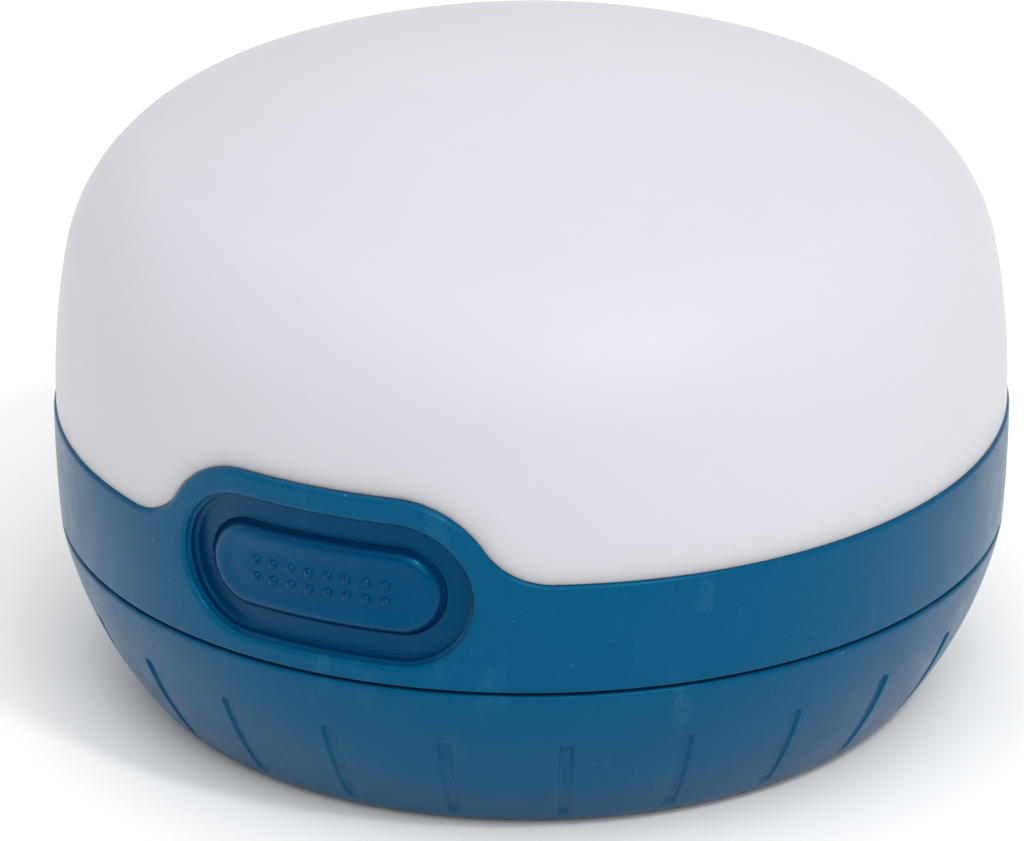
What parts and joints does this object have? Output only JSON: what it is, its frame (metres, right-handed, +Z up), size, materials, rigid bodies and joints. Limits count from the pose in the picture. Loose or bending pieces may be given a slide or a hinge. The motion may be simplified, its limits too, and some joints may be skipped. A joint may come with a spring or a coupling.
{
  "type": "camping lantern",
  "caption": "Compact round battery camping lantern: frosted dome on a low body with a raised front push button, twist-off base and fold-away hang hooks.",
  "frame": {"origin": "centre of the flat underside", "axes": "+Z up through the dome's apex, -Y towards the push button"},
  "size_m": [0.072, 0.0722, 0.049],
  "materials": {
    "blue_plastic": "satin moulded, fine grain",
    "blue_rubber": "soft matte",
    "frosted_plastic": "frosted, lets light through",
    "black_rubber": "soft",
    "foam": "matte closed-cell",
    "wire_steel": "plated",
    "black_plastic": "moulded",
    "cell_can": "plain sleeve",
    "nickel": "nickel plated",
    "board_green": "solder mask",
    "white_plastic": "smooth",
    "clear_lens": "clear, faintly yellow",
    "ceramic_tan": "fired",
    "screw_steel": "zinc plated"
  },
  "bodies": {
    "body": {"body_ring": "blue_plastic", "button_boot": "blue_rubber", "switch_body": "black_plastic", "globe": "frosted_plastic", "battery_holder": "black_plastic", "battery_cell_front": "cell_can", "battery_cell_middle": "cell_can", "battery_cell_rear": "cell_can", "contact_positive": "nickel", "contact_bridge_right": "nickel", "contact_bridge_left": "nickel", "contact_negative": "nickel", "contact_springs": "nickel", "main_board": "board_green", "led_package": "white_plastic", "led_lens": "clear_lens", "driver_chip": "black_plastic", "inductor": "black_plastic", "capacitors": "ceramic_tan", "reflector": "white_plastic", "clamp_screws": "screw_steel"},
    "base": {"base_shell": "blue_plastic", "base_seal": "black_rubber", "battery_pad": "foam"},
    "left_hook": {"hook_left": "wire_steel"},
    "right_hook": {"hook_right": "wire_steel"},
    "button": {"button_cap": "blue_rubber"},
    "plunger": {"switch_plunger": "black_plastic"}
  },
  "joints": [
    {"name": "base_twist", "type": "hinge", "parent": "body", "child": "base", "pos_m": [0, 0, 0.0135], "axis": [0, 0, -1], "range_deg": [0, 30]},
    {"name": "left_hook_fold", "type": "hinge", "parent": "base", "child": "left_hook", "pos_m": [0, -0.003, 0.0019], "axis": [1, 0, 0], "range_deg": [0, 90]},
    {"name": "right_hook_fold", "type": "hinge", "parent": "base", "child": "right_hook", "pos_m": [0, 0.003, 0.0019], "axis": [-1, 0, 0], "range_deg": [0, 90]},
    {"name": "button_press", "type": "slide", "parent": "body", "child": "button", "axis": [0, 1, 0], "range_m": [0, 0.0005], "stiffness_N_per_m": 2500, "springref_m": -0.0004},
    {"name": "plunger_press", "type": "slide", "parent": "body", "child": "plunger", "axis": [0, 1, 0], "range_m": [0, 0.0005]}
  ],
  "couplings": [
    {"joint": "plunger_press", "follows": "button_press", "ratio": 1}
  ]
}
